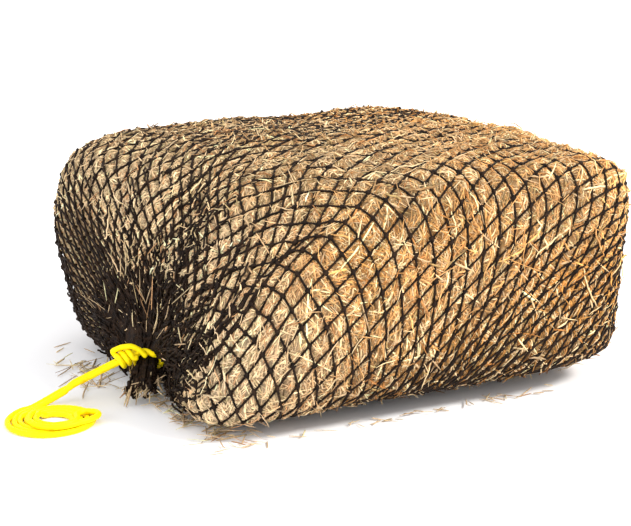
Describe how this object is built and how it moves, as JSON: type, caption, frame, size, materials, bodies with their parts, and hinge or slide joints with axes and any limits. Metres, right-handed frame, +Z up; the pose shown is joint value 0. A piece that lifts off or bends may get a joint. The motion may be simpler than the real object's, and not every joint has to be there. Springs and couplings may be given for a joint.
{
  "type": "hay net",
  "caption": "Full small-mesh hay net lying on its broad side: black knotted netting round packed hay flakes, mouth drawn shut by a yellow drawstring.",
  "frame": {"origin": "on the ground under the middle of the filled bag, drawstring left out", "axes": "+X along the bag, away from the drawn-in mouth; +Z up; +Y to the laced back side"},
  "size_m": [0.875, 0.62, 0.34],
  "materials": {
    "twine": "matte knotted nylon twine",
    "cord": "satin braided cord",
    "hay": "dry matte stems"
  },
  "bodies": {
    "bag": {"net_body": "twine", "side_lacing": "twine", "end_lacing": "twine", "mouth_gather": "twine", "drawstring_ring": "cord", "tail_left": "cord", "tail_right": "cord", "drawstring_coil": "cord", "flake_01": "hay", "flake_02": "hay", "flake_03": "hay", "flake_04": "hay", "flake_05": "hay", "flake_06": "hay", "flake_07": "hay", "flake_08": "hay", "flake_09": "hay", "flake_10": "hay", "flake_11": "hay"},
    "knot": {"slip_knot": "cord"}
  },
  "joints": [
    {"name": "knot_slide", "type": "slide", "parent": "bag", "child": "knot", "axis": [-0.9235, 0.1181, -0.3651], "range_m": [0, 0.045]}
  ]
}
